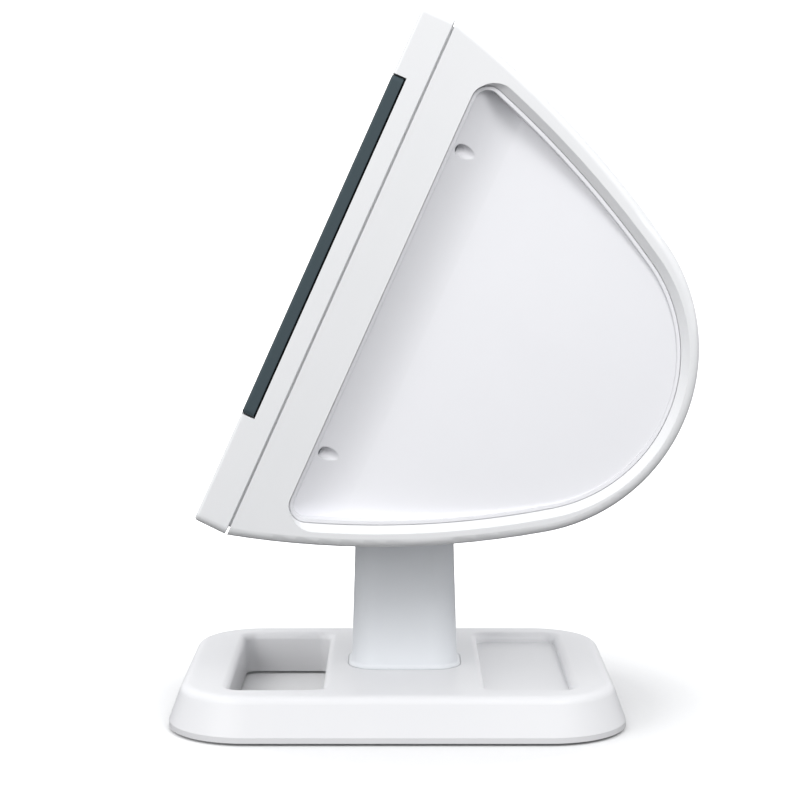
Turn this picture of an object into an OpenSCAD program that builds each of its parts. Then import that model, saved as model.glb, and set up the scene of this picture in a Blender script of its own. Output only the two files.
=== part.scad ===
// Infrared heat lamp: a tilting head with a glass-ceramic front on an oval column and a flat foot.
// Front of the lamp faces -Y, +X is to the right of someone facing it, the table is Z = 0.

/* [Foot] */
// Length of the foot, front to back
base_len = 250; // [230:1:280]
// Width of the foot
base_w = 190; // [180:1:220]
// Height of the foot's top above the table
base_h = 25; // [23:0.5:30]
// Plan radius of the foot's corners
base_corner = 44; // [30:1:50]
// Draft of the foot's sides in degrees
base_draft = 20; // [10:1:24]
// Height of the upright lip below the drafted sides
base_lip = 3; // [2:0.5:5]
// Rounding between the sides and the top
base_edge_r = 6; // [4:0.5:7]
// Wall of the foot
base_wall = 2.5; // [2:0.1:3]
// Thickness of the underside plate
plate_t = 2.5; // [2:0.1:3]
// Thickness of the steel ballast
ballast_t = 8; // [4:0.5:9]
// Height of the rubber feet
foot_gap = 1.5; // [1:0.1:2.5]
// Diameter of the rubber feet
foot_d = 18; // [12:1:22]

/* [Openings in the foot] */
// Length of the front opening across the foot
opening_len = 140; // [120:1:148]
// Width of the front opening
opening_w = 51; // [40:1:54]
// Distance of the front opening's middle before the foot's middle
opening_y = 66; // [62:1:70]
// Length of the rear tray across the foot
tray_len = 140; // [120:1:148]
// Width of the rear tray
tray_w = 47; // [35:1:50]
// Distance of the rear tray's middle behind the foot's middle
tray_y = 71; // [69:1:74]
// Depth of the rear tray
tray_depth = 6; // [4:0.5:8]
// Plan radius in the corners of the opening and the tray
opening_corner = 7; // [6:0.5:10]
// Rounding of their rims
rim_r = 4; // [2:0.5:5]

/* [Column] */
// Distance of the column's axis behind the foot's middle
column_y = 4; // [2:0.5:6]
// Depth of the column at its foot, front to back
column_deep = 59.5; // [54:0.5:62]
// Width of the column at its foot
column_wide = 48; // [44:0.5:52]
// Depth of the column at its shoulder
column_top_deep = 54.5; // [50:0.5:58]
// Width of the column at its shoulder
column_top_wide = 44; // [42:0.5:46]
// Radius of the column's rounded corners
column_corner = 15; // [10:0.5:18]
// Fillet where the column meets the foot
column_fillet = 2.5; // [1:0.5:4]
// Bore of the column for the lead
column_bore = 20; // [14:1:22]
// Diameter of the lead's way out beside the hinge tongue
lead_exit = 8; // [6:0.5:8]

/* [Hinge] */
// Height of the hinge pin above the table
pivot_h = 140; // [136:1:160]
// Lean of the head at rest in degrees
head_tilt = 24.3; // [0:0.1:40]
// Least lean of the head in degrees
tilt_min = 0; // [0:1:15]
// Greatest lean of the head in degrees
tilt_max = 40; // [30:1:42]
// Diameter of the hinge pin
pin_d = 10; // [8:0.5:12]
// Width of the column's hinge tongue
tongue_w = 34; // [28:1:36]
// Radius of the hinge tongue about the pin
tongue_r = 16; // [13:0.5:17]
// Drop of the column's shoulder below the pin
shoulder_drop = 25; // [24:0.5:28]
// Thickness of the friction washers
washer_t = 2; // [1:0.1:2.5]
// Sheet of the hinge bracket
bracket_t = 2.5; // [2:0.1:3]
// Radial clearance of the pin in the tongue
pin_fit = 0.05; // [0.02:0.01:0.1]

/* [Head] */
// Width of the head
head_w = 190; // [180:1:210]
// Height of the head's front, measured along it
front_h = 292.5; // [285:0.5:310]
// Distance of the front's lower edge below the pin, along the front
front_drop = 63.6; // [60:0.1:68]
// Distance of the seam behind the front frame from the pin
seam_set = 74.8; // [72:0.1:80]
// Depth of the hood from the seam to its rearmost point
hood_depth = 194.3; // [185:0.1:205]
// Radius of the hood's round back
back_r = 96.8; // [90:0.1:100]
// Height of the round back's centre above the pin, along the front
back_rise = 86; // [80:0.5:92]
// Radius of the hood's long upper curve
upper_r = 533; // [480:1:600]
// Radius of the hood's long lower curve
lower_r = 487; // [440:1:560]
// Fillet along the hood's edges
edge_r = 4.5; // [3.5:0.5:4.5]
// Wall of the hood
hood_wall = 2.5; // [2:0.1:3]
// Shadow gap between the front frame and the hood
seam_gap = 1.2; // [0.8:0.1:2]
// Width of the rear air slots
vent_w = 3; // [2:0.5:4]
// Length of the rear air slots
vent_len = 84; // [60:1:100]
// Count of the rear air slots
vent_n = 9; // [5:1:11]
// Angle between the rear air slots in degrees
vent_step = 5.2; // [4:0.1:5.5]
// Angle of the middle air slot above the round back's centre in degrees
vent_aim = 22; // [15:1:26]

/* [Side panels] */
// Distance of the panel's front edge behind the seam
panel_set = 23.8; // [20:0.1:28]
// Height of the panel's upper corner above the pin, before rounding
panel_top = 208.5; // [205:0.5:211]
// Drop of the panel's lower corner below the pin, before rounding
panel_drop = 45; // [42:0.5:47]
// Radius of the panel's round back
panel_back_r = 82; // [78:0.5:84]
// Distance of the panel's rearmost point before the hood's
panel_inset = 9; // [9:0.5:12]
// Radius of the panel's long upper curve
panel_upper_r = 553; // [500:1:600]
// Radius of the panel's long lower curve
panel_lower_r = 476; // [440:1:520]
// Radius of the panel's two front corners
panel_corner = 9; // [6:0.5:12]
// Chamfer of the hood round the panel
panel_chamfer = 4; // [3:0.5:4]
// Depth of the panel below the hood's side at its front edge
dish_front = 20; // [14:0.5:21]
// Depth of the panel below the hood's side at its back
dish_back = 4.6; // [4.5:0.1:6]
// Radius of the scooped curve between the panel's front wall and its floor
scoop_r = 32; // [26:1:45]
// Sheet of the panel
panel_t = 2; // [1.5:0.1:2.5]
// Distance of the upper frame screws below the panel's upper corner
screw_top_set = 39.5; // [36:0.5:44]
// Distance of the lower frame screws above the panel's lower corner
screw_low_set = 41.4; // [38:0.1:46]

/* [Front frame and pane] */
// Depth of the front frame
frame_t = 17.8; // [16:0.1:20]
// Wall of the front frame
frame_wall = 2.6; // [2:0.1:3]
// Draft of the front frame's sides in degrees
frame_draft = 2; // [0.5:0.5:4]
// Rounding of the front frame's front edge
frame_edge_r = 1.8; // [1:0.1:2.2]
// Height of the glass pane
pane_h = 192; // [180:1:196]
// Distance of the pane's lower edge above the front's lower edge
pane_rise = 62; // [58:0.5:66]
// Thickness of the glass pane
pane_t = 6.5; // [5:0.1:7]
// Rounding of the pane's edges
pane_edge_r = 1.5; // [0.8:0.1:2]
// Thickness of the seal behind the pane
seal_t = 1; // [0.8:0.1:1.5]
// Width of the frame's shelf behind the pane, above and below the window
shelf_h = 12; // [8:0.5:16]
// Distance of the window behind the pane from the head's sides
window_set = 28; // [27.5:0.5:32]

/* [Heater and fan] */
// Depth of the heat shield behind the shelf
shield_depth = 36; // [32:0.5:38]
// Sheet of the heat shield and the reflector
sheet_t = 1; // [0.8:0.1:1.5]
// Diameter of the quartz tubes
tube_d = 12; // [9:0.5:14]
// Spacing of the quartz tubes
tube_pitch = 84; // [78:1:86]
// Wall of the quartz tubes
tube_wall = 1.2; // [1:0.1:1.5]
// Diameter of the filaments
filament_d = 3; // [2:0.5:4]
// Length of the ceramic tube holders
holder_len = 13; // [10:0.5:16]
// Radius of the reflector's troughs
trough_r = 25; // [22:0.5:27]
// Side of the square fan frame
fan_side = 60; // [50:1:80]
// Thickness of the fan frame
fan_t = 15; // [12:0.5:20]
// Length of the fan's spacers
spacer_len = 10; // [6:0.5:14]
// Diameter of the fan's hub
hub_d = 25; // [22:0.5:28]
// Diameter of the fan's bearing tube
bearing_d = 9; // [7:0.5:11]
// Diameter of the fan's shaft
shaft_d = 3; // [2:0.5:4]
// Count of the fan's blades
blade_n = 7; // [5:1:9]
// Gap between the blades and the fan frame
blade_gap = 0.8; // [0.5:0.1:1.5]

/* [Controls] */
// Height of the controls above the front's lower edge
control_rise = 31; // [29:0.5:33]
// Diameter of the power button
power_d = 15; // [12:0.5:18]
// Diameter of the plus and minus buttons
step_d = 12; // [10:0.5:14]
// Distance of the power button from the head's left side
power_set = 49; // [45:1:51]
// Distance of the minus button from the head's right side
minus_set = 55; // [53:1:57]
// Distance of the plus button right of the minus button
plus_pitch = 19; // [18:1:22]
// Travel of the buttons
button_travel = 1; // [0.5:0.1:1.2]
// Rise of the buttons above the front
button_proud = 0.6; // [0.4:0.1:0.8]
// Width of the display
display_w = 46; // [36:1:48]
// Height of the display
display_h = 18; // [14:1:22]

/* [Fits] */
// Gap between fixed pieces that seat in one another
seat_gap = 0.2; // [0.1:0.05:0.3]
// Gap between pieces that move past one another
run_gap = 0.4; // [0.3:0.05:0.6]
// Gap between the column and its slot in the hood
slot_gap = 2; // [1.5:0.1:3]
// Screw shank diameter
screw_d = 3; // [2.5:0.5:3.5]

/* [Hidden] */

$fa = 2;
$fs = 0.5;
eps = 0.01;
// Rounded corners stand this much inside the true arc, so that curves cross instead of touching
lap = 0.02;
// Chord error of outlines that are drawn with points
chord_err = 0.015;

// Hood outline, in the head's own plane: x back from the pin, y up along the front
seam_u = -seam_set;
hood_u = seam_u + seam_gap;
front_u = seam_u - frame_t;
front_low = -front_drop;
front_top = front_h - front_drop;
back_u = seam_u + hood_depth;
back_c = [back_u - back_r, back_rise];
half_w = head_w / 2;

// Panel outline in the same plane
panel_u = seam_u + panel_set;
panel_c = [back_u - panel_inset - panel_back_r, back_rise];
rim_low = half_w - panel_chamfer - hood_wall;
panel_lip = half_w - panel_chamfer;
panel_wall_u = panel_u + seat_gap + panel_t;
dish_run = back_u - panel_inset - panel_u;
dish_drop = dish_front - dish_back;
dish_r = (dish_run * dish_run + dish_drop * dish_drop) / (2 * dish_drop);
dish_c = [panel_u + dish_run, half_w - dish_back - dish_r];
dish_steps = 256;
scoop_top = 1.5;
hood_flange = 0.4;

// Origin at the middle of the whole lamp's box, on the table
head_rear = column_y + back_c[0] * cos(head_tilt) + back_c[1] * sin(head_tilt) + back_r;
mid_y = (head_rear - base_len / 2) / 2;
pivot_y = column_y - mid_y;

// Foot
lip_top = foot_gap + base_lip;
edge_z = base_h - base_edge_r;
edge_x = -(base_edge_r + (edge_z - lip_top) * sin(base_draft)) / cos(base_draft);
plate_top = foot_gap + plate_t;
boss_d = screw_d + 5;
screw_head_d = screw_d * 2;
screw_head_t = screw_d * 0.7;
screw_hole_d = screw_d + 2 * seat_gap;
base_screw_len = 8;
base_screw_x = (base_w - base_corner) / 2;
base_screw_y = (base_len - base_corner) / 2;
foot_x = base_screw_x - foot_d;
foot_y = base_screw_y + 4;
column_screw_len = 13;
cord_d = 12;
cord_collar = 1.5;
cord_z = lip_top + cord_d / 2 + cord_collar;
cord_end = base_len / 2 - (cord_z + cord_d / 2 - lip_top) * tan(base_draft);

// Front frame and pane, by depth behind the front
pane_low = front_low + pane_rise;
pane_top = pane_low + pane_h;
shelf_u = front_u + pane_t + seal_t;
shelf_back = shelf_u + frame_wall;
window_h = pane_h - 2 * shelf_h;
window_w = head_w - 2 * window_set;
pane_mid = pane_low + pane_h / 2;
tongue_inset = hood_wall + seat_gap;
control_v = front_low + control_rise;
panel_back_u = front_u + frame_wall;
front_half = half_w - frame_t * tan(frame_draft);
pane_corner = 3;

// Heater
shield_lap = 4;
shield_w = window_w + 2 * shield_lap;
shield_h = window_h + 2 * shield_lap;
shield_back = shelf_back + shield_depth;
lug_side = 12;
lug_u = shelf_back + 8;
lug_x = shield_w / 2 + lug_side / 2 + 1;
lug_v = shield_h / 2 - 26;
trough_u = shelf_back + 6;
tube_u = trough_u + 8;
tube_reach = window_w / 2 - holder_len;
tube_half = window_w / 2 - 4;
tube_end = 2;
service_v = pane_mid - shield_h / 2 + 30;
service_x = shield_w / 4;

// Hinge, across the head
washer_x = tongue_w / 2 + washer_t;
ear_in = washer_x + run_gap;
ear_out = ear_in + bracket_t;
ear_r = pin_d / 2 + 7;
foot_top = -10;
foot_low = foot_top - bracket_t;
foot_reach = 17;
boss_x = ear_out + boss_d;
boss_u = 11;
bridge_v = tongue_r + 3;
bridge_half = 8;
nut_t = 5;

// Screws that hold the frame to the hood, one pair a side
frame_screw_v = [panel_top - screw_top_set, screw_low_set - panel_drop];
frame_screw_x = half_w - dish_front / 2;
frame_boss_d = boss_d + 1;
tab_t = 2;
tab_front = panel_u + seat_gap - tab_t;

// Fan, behind the shield
fan_u = shield_back + spacer_len;
fan_v = pane_mid;
fan_bore = fan_side - 3;
fan_hole = fan_side / 2 - 4;
fan_web = 3;
rotor_set = 1;
hub_floor = 1.6;

// Controls and their board
power_x = half_w - power_set;
minus_x = half_w - minus_set;
board_u = front_u + 12;
board_t = 1.6;
board_half_h = 17;
board_half_w = minus_x + plus_pitch + 12;
post_d = 5;
switch_side = 6;
switch_t = 3;

// Colours
white = [0.94, 0.95, 0.96];
rubber = [0.2, 0.2, 0.21];
steel = [0.68, 0.69, 0.71];
dark_glass = [0.19, 0.23, 0.24];
ceramic = [0.9, 0.87, 0.8];
black = [0.1, 0.1, 0.11];

function heading(v) = atan2(v[1], v[0]);
function polar(c, r, a) = [c[0] + r * cos(a), c[1] + r * sin(a)];
function unit(v) = v / norm(v);

// Centre of the circle of radius r through p that touches the circle (c, s) from outside it
function holding_centre(c, s, r, p, side) =
    let (d = norm(p - c), e = unit(p - c))
    let (along = ((r - s) * (r - s) - r * r + d * d) / (2 * d))
    let (across = sqrt((r - s) * (r - s) - along * along))
    c + along * e + side * across * [-e[1], e[0]];

// An outline is a list of arcs, anticlockwise: [centre, radius, start angle, end angle]
function arc_start(a, grow = 0) = polar(a[0], a[1] + grow, a[2]);
function arc_end(a, grow = 0) = polar(a[0], a[1] + grow, a[3]);
// The same arc carried a little past both of its ends
function widened(a) = [a[0], a[1], a[2] - 0.3, a[3] + 0.3];

// Lower curve, round back and upper curve between a lower and an upper point
function hood_arcs() =
    let (low = holding_centre(back_c, back_r, lower_r, [hood_u, front_low], -1))
    let (up = holding_centre(back_c, back_r, upper_r, [hood_u, front_top], 1))
    [
        [low, lower_r, heading([hood_u, front_low] - low) - 0.2, heading(back_c - low)],
        [back_c, back_r, heading(back_c - low), heading(back_c - up)],
        [up, upper_r, heading(back_c - up), heading([hood_u, front_top] - up) + 0.2]
    ];

// The same three curves round the side panel, with its two rounded front corners.
// It may be grown at its curved sides and set back at its front
function panel_arcs(grow = 0, set = 0) =
    let (low = holding_centre(panel_c, panel_back_r, panel_lower_r, [panel_u, -panel_drop], -1))
    let (up = holding_centre(panel_c, panel_back_r, panel_upper_r, [panel_u, panel_top], 1))
    let (corner = panel_corner + grow, cu = panel_u + corner + set)
    let (lr = panel_lower_r - panel_corner, ur = panel_upper_r - panel_corner)
    let (cl = [cu, low[1] - sqrt(lr * lr - (cu - low[0]) * (cu - low[0]))])
    let (ct = [cu, up[1] + sqrt(ur * ur - (cu - up[0]) * (cu - up[0]))])
    [
        [cl, corner, 180, 360 + heading(cl - low)],
        [low, panel_lower_r + grow, heading(cl - low), heading(panel_c - low)],
        [panel_c, panel_back_r + grow, heading(panel_c - low), heading(panel_c - up)],
        [up, panel_upper_r + grow, heading(panel_c - up), heading(ct - up)],
        [ct, corner, heading(ct - up), 180]
    ];

// A rectangle with round corners
function box_arcs(w, l, r) = [
    for (k = [0 : 3])
        [[(k == 0 || k == 3 ? 1 : -1) * (w / 2 - r), (k < 2 ? 1 : -1) * (l / 2 - r)], r, 90 * k, 90 * k + 90]
];

// Corner points of the straight-sided part of an outline
function outline_points(arcs, grow) = [
    for (i = [0 : len(arcs) - 1])
        let (a = arc_end(arcs[i], grow), b = arc_start(arcs[(i + 1) % len(arcs)], grow))
        each norm(a - b) < 0.001 ? [arc_start(arcs[i], grow)] : [arc_start(arcs[i], grow), a]
];

// Slice of a disc between two angles
module pie(r, from, to) {
    reach = 3 * r;
    mid = (from + to) / 2;
    intersection() {
        circle(r);
        polygon([[0, 0], polar([0, 0], reach, from), polar([0, 0], reach, mid), polar([0, 0], reach, to)]);
    }
}

// Round corner of a section, inside the chord's ends
module corner_disc(c, r) {
    translate(c) circle(r - lap);
}

// Area inside an outline, grown or shrunk by a distance
module region(arcs, grow = 0) {
    polygon(outline_points(arcs, grow));
    for (a = arcs) bow(a, grow);
}

// Area between an arc and its chord, with a margin inside the chord
module bow(a, grow = 0) {
    far = 2.6 * a[1];
    margin = min(1, a[1] / 4);
    intersection() {
        translate(a[0]) circle(a[1] + grow - lap);
        polygon([
            arc_start(a, grow - margin), polar(a[0], far, a[2]),
            polar(a[0], far, a[3]), arc_end(a, grow - margin)
        ]);
    }
}

// Section carried round one arc: its x is outwards from the arc, its y is height
module turn(a) {
    translate(a[0]) rotate(a[2]) rotate_extrude(angle = a[3] - a[2]) translate([a[1], 0]) children();
}

// Section carried along a whole outline
module sweep(arcs) {
    for (a = arcs) turn(a) children();
    for (i = [0 : len(arcs) - 1]) {
        p = arc_end(arcs[i]);
        q = arc_start(arcs[(i + 1) % len(arcs)]);
        if (norm(q - p) > 0.001)
            translate(q) rotate(heading(q - p) - 90) rotate([90, 0, 0]) linear_extrude(norm(q - p)) children();
    }
}

// The head's own frame: x back, y up along the front, z across, with the pin at the origin
module head() {
    translate([0, pivot_y, pivot_h]) rotate([-head_tilt, 0, 0]) rotate([90, 0, 90]) children();
}

// The foot's own frame
module stand() {
    translate([0, -mid_y, 0]) children();
}

// Cylinder along the head's depth
module rod_u(u, v, x, d, l) {
    translate([u, v, x]) rotate([0, 90, 0]) cylinder(d = d, h = l);
}

// Cylinder along the head's height
module rod_v(u, v, x, d, l) {
    translate([u, v, x]) rotate([-90, 0, 0]) cylinder(d = d, h = l);
}

// Block from one corner to another
module block(a, b) {
    translate(a) cube(b - a);
}

// Section of the foot's side, shrunk by a wall
module foot_section(wall, low) {
    r = base_edge_r - wall;
    c = [edge_x, edge_z];
    polygon([
        [-base_corner, low], [-wall, low], [-wall, lip_top - wall * tan(base_draft / 2)],
        polar(c, r, base_draft), [edge_x, base_h - wall], [-base_corner, base_h - wall]
    ]);
    corner_disc(c, r);
}

// Hollow of the moulded edge round an opening's rim
module rim_cut(w, l) {
    sweep(box_arcs(w, l, opening_corner))
        translate([0, base_h - rim_r]) difference() {
            translate([-eps, 0]) square([rim_r + eps, rim_r + eps]);
            translate([rim_r, 0]) circle(rim_r);
        }
}

module prism(w, l, r, low, high) {
    translate([0, 0, low]) linear_extrude(high - low) region(box_arcs(w, l, r));
}

module base_shell() {
    bead = rim_r + base_wall;
    cord_back = base_len / 2 - 15;
    color(white) stand() difference() {
        union() {
            sweep(box_arcs(base_w, base_len, base_corner)) difference() {
                foot_section(0, foot_gap);
                foot_section(base_wall, foot_gap - 1);
            }
            block(
                [-base_w / 2 + base_corner, -base_len / 2 + base_corner, base_h - base_wall],
                [base_w / 2 - base_corner, base_len / 2 - base_corner, base_h]
            );
            translate([0, -opening_y, 0]) {
                prism(opening_len + 2 * base_wall, opening_w + 2 * base_wall, opening_corner + base_wall,
                    foot_gap, base_h - base_wall / 2);
                prism(opening_len + 2 * bead, opening_w + 2 * bead, opening_corner + bead,
                    base_h - bead, base_h - base_wall / 2);
            }
            translate([0, tray_y, 0])
                prism(tray_len + 2 * bead, tray_w + 2 * bead, opening_corner + bead,
                    base_h - tray_depth - base_wall, base_h - base_wall / 2);
            for (x = [-1, 1], y = [-1, 1])
                translate([x * base_screw_x, y * base_screw_y, plate_top])
                    cylinder(d = boss_d, h = base_h - plate_top - base_wall / 2);
        }
        translate([0, -opening_y, 0]) {
            prism(opening_len, opening_w, opening_corner, foot_gap - 1, base_h + 1);
            rim_cut(opening_len, opening_w);
        }
        translate([0, tray_y, 0]) {
            prism(tray_len, tray_w, opening_corner, base_h - tray_depth, base_h + 1);
            rim_cut(tray_len, tray_w);
        }
        translate([0, column_y, base_h - base_wall - 1]) {
            cylinder(d = column_bore, h = base_wall + 2);
            column_screw_places() cylinder(d = screw_hole_d, h = base_wall + 2);
        }
        for (x = [-1, 1], y = [-1, 1])
            translate([x * base_screw_x, y * base_screw_y, plate_top - 1]) cylinder(d = screw_d, h = base_screw_len);
        translate([0, cord_back, cord_z]) rotate([-90, 0, 0]) cylinder(d = cord_d + 2 * seat_gap, h = 30);
    }
}

module base_plate() {
    gap = base_wall + seat_gap;
    color(white) stand() difference() {
        prism(base_w - 2 * gap, base_len - 2 * gap, base_corner - gap, foot_gap, plate_top);
        translate([0, -opening_y, 0])
            prism(opening_len + 2 * gap, opening_w + 2 * gap, opening_corner + gap, foot_gap - 1, plate_top + 1);
        for (x = [-1, 1], y = [-1, 1])
            translate([x * base_screw_x, y * base_screw_y, foot_gap - 1]) {
                cylinder(d = screw_hole_d, h = plate_t + 2);
                cylinder(d = screw_head_d + 2 * seat_gap, h = 1 + plate_t / 2);
            }
    }
}

module ballast_plate() {
    front = -opening_y + opening_w / 2 + base_wall + 2;
    back = tray_y - tray_w / 2 - 2;
    corner = 5;
    color(steel) stand() difference() {
        translate([0, (front + back) / 2, 0])
            prism(opening_len, back - front, corner, plate_top, plate_top + ballast_t);
        translate([0, column_y, plate_top - 1]) cylinder(d = column_bore, h = ballast_t + 2);
        translate([0, column_y, plate_top - 1])
            column_screw_places() cylinder(d = screw_head_d + 4, h = ballast_t + 2);
    }
}

module rubber_feet() {
    color(rubber) stand() for (x = [-1, 1], y = [-1, 1])
        translate([x * foot_x, y * foot_y, 0]) {
            cylinder(d1 = foot_d - 1, d2 = foot_d, h = foot_gap / 2);
            translate([0, 0, foot_gap / 2]) cylinder(d = foot_d, h = foot_gap / 2);
        }
}

module base_screws() {
    head_t = screw_head_t / 2;
    color(steel) stand() for (x = [-1, 1], y = [-1, 1])
        translate([x * base_screw_x, y * base_screw_y, foot_gap + plate_t / 2]) {
            translate([0, 0, -head_t]) cylinder(d = screw_head_d, h = head_t);
            cylinder(d = screw_d, h = base_screw_len);
        }
}

module cord_bush() {
    barrel = 9;
    wall = 2;
    slope = (cord_d / 2 + cord_collar) * tan(base_draft);
    collar_len = barrel - base_wall / cos(base_draft) - slope;
    color(black) stand() translate([0, cord_end - barrel, cord_z]) rotate([-90, 0, 0]) difference() {
        union() {
            cylinder(d = cord_d, h = barrel);
            cylinder(d = cord_d + 2 * cord_collar, h = collar_len);
        }
        translate([0, 0, -1]) cylinder(d = cord_d - 2 * wall, h = barrel + 2);
    }
}

// Four screws up into the column's foot
module column_screw_places() {
    set = 9;
    for (x = [-1, 1], y = [-1, 1])
        translate([x * (column_wide / 2 - set), y * (column_deep / 2 - set), 0]) children();
}

// Thin slice of the column's oval
module column_slice(wide, deep, z, h) {
    translate([0, 0, z]) linear_extrude(h) region(box_arcs(wide, deep, column_corner));
}

module column() {
    shoulder = pivot_h - shoulder_drop;
    slice = 0.1;
    bore_top = shoulder - 10;
    exit_y = (tongue_r + column_top_deep / 2) / 2;
    exit_z = bore_top - lead_exit;
    color(white) translate([0, pivot_y, 0]) difference() {
        union() {
            hull() {
                column_slice(column_wide, column_deep, base_h, slice);
                column_slice(column_top_wide, column_top_deep, shoulder - slice, slice);
            }
            translate([0, 0, pivot_h]) rotate([90, 0, 90])
                linear_extrude(tongue_w, center = true) tongue_outline();
            sweep(box_arcs(column_wide, column_deep, column_corner)) translate([0, base_h]) foot_fillet();
        }
        translate([0, 0, base_h - 1]) cylinder(d = column_bore, h = bore_top - base_h + 1);
        translate([0, 0, base_h - 1]) column_screw_places() cylinder(d = screw_d, h = column_screw_len);
        translate([0, 0, pivot_h]) rotate([0, 90, 0])
            cylinder(d = pin_d + 2 * pin_fit, h = tongue_w + 2, center = true);
        translate([0, 0, exit_z]) rotate([-90, 0, 0]) cylinder(d = lead_exit, h = exit_y);
        translate([0, exit_y, exit_z - lead_exit / 2]) cylinder(d = lead_exit, h = shoulder_drop + lead_exit);
    }
}

module tongue_outline() {
    root = 2;
    translate([-tongue_r, -shoulder_drop - root]) square([2 * tongue_r, shoulder_drop + root]);
    corner_disc([0, 0], tongue_r);
}

// Cove between the column and the foot
module foot_fillet() {
    difference() {
        translate([-1, 0]) square([column_fillet + 1, column_fillet]);
        translate([column_fillet, column_fillet]) circle(column_fillet);
    }
}

module column_screws() {
    color(steel) translate([0, pivot_y, base_h - base_wall]) column_screw_places() {
        translate([0, 0, -screw_head_t]) cylinder(d = screw_head_d, h = screw_head_t);
        cylinder(d = screw_d, h = column_screw_len);
    }
}

module friction_washers() {
    color(black) head() for (s = [-1, 1])
        translate([0, 0, s * (tongue_w + washer_t) / 2]) difference() {
            cylinder(r = ear_r + 1, h = washer_t, center = true);
            cylinder(d = pin_d + 2 * pin_fit, h = washer_t + 2, center = true);
        }
}

module hinge_bracket() {
    color(steel) head() difference() {
        union() {
            for (s = [-1, 1]) {
                translate([0, 0, s * (ear_in + ear_out) / 2]) linear_extrude(bracket_t, center = true) ear_outline();
                mirror([0, 0, s < 0 ? 1 : 0])
                    block([-foot_reach, foot_low, ear_in], [foot_reach, foot_top, boss_x + boss_d / 2]);
            }
            block([-bridge_half, bridge_v, -ear_out], [bridge_half, bridge_v + bracket_t, ear_out]);
        }
        cylinder(d = pin_d, h = 3 * tongue_w, center = true);
        bracket_screw_places() cylinder(d = screw_hole_d, h = 4 * bracket_t, center = true);
    }
}

module ear_outline() {
    difference() {
        polygon([
            [-foot_reach, foot_low], [foot_reach, foot_low], [ear_r, 0],
            [bridge_half, bridge_v + bracket_t], [-bridge_half, bridge_v + bracket_t], [-ear_r, 0]
        ]);
        translate([0, foot_low - ear_r]) circle(r = ear_r);
    }
}

// Places of the bracket's four screws, looking down on its feet
module bracket_screw_places() {
    for (u = [-1, 1], x = [-1, 1])
        translate([u * boss_u, foot_low, x * boss_x]) rotate([-90, 0, 0]) children();
}

module bracket_screws() {
    reach = 8;
    color(steel) head() bracket_screw_places() {
        translate([0, 0, bracket_t]) cylinder(d = screw_head_d, h = screw_head_t);
        translate([0, 0, -reach]) cylinder(d = screw_d, h = reach + bracket_t);
    }
}

module hinge_pin() {
    tail = nut_t + 2;
    head_t = 3;
    color(steel) head() {
        translate([0, 0, -ear_out - tail]) cylinder(d = pin_d, h = 2 * ear_out + tail);
        translate([0, 0, ear_out]) cylinder(d = pin_d + 6, h = head_t);
    }
}

module hinge_nut() {
    color(steel) head() translate([0, 0, -ear_out - nut_t]) difference() {
        cylinder(d = pin_d + 8, h = nut_t, $fn = 6);
        translate([0, 0, -1]) cylinder(d = pin_d, h = nut_t + 2);
    }
}

// Section of the hood's wall: a channel with rounded edges
module hood_section(grow = 0) {
    flange = edge_r + hood_flange - grow;
    difference() {
        channel(flange, -grow);
        channel(3 * edge_r, hood_wall - grow);
    }
}

module channel(reach, wall) {
    r = edge_r - wall;
    w = half_w - wall;
    polygon([[-reach, -w], [-edge_r, -w], [-wall, r - w], [-wall, w - r], [-edge_r, w], [-reach, w]]);
    for (s = [-1, 1]) intersection() {
        corner_disc([-edge_r, s * (w - r)], r);
        translate([-edge_r - hood_flange / 2, -head_w]) square([2 * edge_r, 2 * head_w]);
    }
}

// Opening in the hood's side for the panel, with a chamfer that runs out into its front edge
module panel_cut() {
    depth = half_w - panel_chamfer;
    translate([0, 0, rim_low - 1]) linear_extrude(half_w - rim_low + 2) region(panel_arcs());
    hull() {
        translate([0, 0, depth - 1]) linear_extrude(eps) polygon(outline_path(panel_arcs(-1, seat_gap)));
        translate([0, 0, half_w + 1]) linear_extrude(eps)
            polygon(outline_path(panel_arcs(panel_chamfer + 1, seat_gap)));
    }
}

// Points along an outline's arcs, each chord within a small distance of its arc
function outline_path(arcs) = [
    for (a = arcs)
        let (n = ceil((a[3] - a[2]) / (2 * acos(1 - chord_err / a[1]))))
        for (k = [0 : n - 1]) polar(a[0], a[1], a[2] + (a[3] - a[2]) * (k + 0.5) / n)
];

// Way of the column through the bottom of the hood, over the whole range of lean
module column_slot() {
    taper = 1.5;
    half = column_top_deep / 2 + taper;
    wide = column_top_wide + 2 * slot_gap + taper;
    front = slot_edge(tilt_min, -half) - slot_gap;
    back = slot_edge(tilt_max, half) + slot_gap;
    translate([(front + back) / 2, -front_drop - 10, 0]) rotate([-90, 0, 0])
        linear_extrude(front_drop + 5) region(box_arcs(back - front, wide, column_corner));
}

// Where the column's front or rear face meets the hood's lower curve at a given lean
function slot_edge(lean, half) =
    let (low = hood_arcs()[0])
    let (p = half * [cos(lean), sin(lean)], d = [sin(lean), -cos(lean)])
    let (b = (p - low[0]) * d, c = (p - low[0]) * (p - low[0]) - low[1] * low[1])
    (p + (sqrt(b * b - c) - b) * d)[0];

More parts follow.
